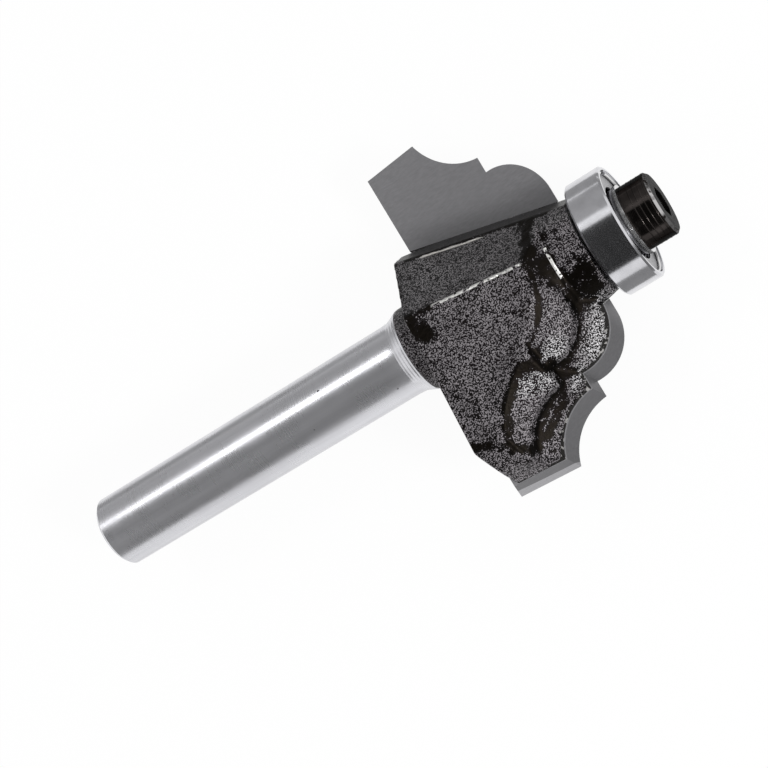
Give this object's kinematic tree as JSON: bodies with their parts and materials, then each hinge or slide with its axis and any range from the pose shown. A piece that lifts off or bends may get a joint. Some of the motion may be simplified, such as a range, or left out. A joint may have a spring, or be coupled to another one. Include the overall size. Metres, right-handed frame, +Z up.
{
  "type": "router bit",
  "caption": "Two-wing cove-and-bead router bit with brazed carbide tips, a plain shank and a ball-bearing guide held by a socket head screw.",
  "frame": {"origin": "bottom centre of the bit's box, as it lies on the back flat of its first wing", "axes": "+X along the tool axis, from the shank to the tip; +Z up, square to the back flat it lies on; the first wing points to +Y"},
  "size_m": [0.0698, 0.0378, 0.0156],
  "materials": {
    "body_steel": "black textured paint on the head; the shank is ground bare steel",
    "carbide": "ground tungsten carbide, fine grinding lines",
    "silver_solder": "silver solder",
    "bearing_steel": "polished bearing steel",
    "cage_steel": "pressed steel",
    "shield_steel": "pressed steel",
    "washer_steel": "bright steel",
    "black_oxide": "glossy black oxide"
  },
  "bodies": {
    "bit": {"cutter_body": "body_steel", "carbide_tip_1": "carbide", "carbide_tip_2": "carbide", "braze_seam_1": "silver_solder", "braze_seam_2": "silver_solder", "bearing_inner_ring": "bearing_steel", "screw_washer": "washer_steel", "cap_screw": "black_oxide"},
    "outer_race": {"bearing_outer_ring": "bearing_steel", "shield_front": "shield_steel", "shield_clip_front": "shield_steel", "shield_rear": "shield_steel", "shield_clip_rear": "shield_steel"},
    "ball_train": {"bearing_ball_1": "bearing_steel", "bearing_ball_2": "bearing_steel", "bearing_ball_3": "bearing_steel", "bearing_ball_4": "bearing_steel", "bearing_ball_5": "bearing_steel", "bearing_ball_6": "bearing_steel", "bearing_ball_7": "bearing_steel", "ball_cage": "cage_steel"}
  },
  "joints": [
    {"name": "bearing_spin", "type": "hinge", "parent": "bit", "child": "outer_race", "pos_m": [0.02935, 0, 0.00782], "axis": [1, 0, 0], "continuous": true},
    {"name": "ball_train_spin", "type": "hinge", "parent": "bit", "child": "ball_train", "pos_m": [0.02935, 0, 0.00782], "axis": [1, 0, 0], "continuous": true}
  ],
  "couplings": [
    {"joint": "ball_train_spin", "follows": "bearing_spin", "ratio": 0.63635}
  ]
}
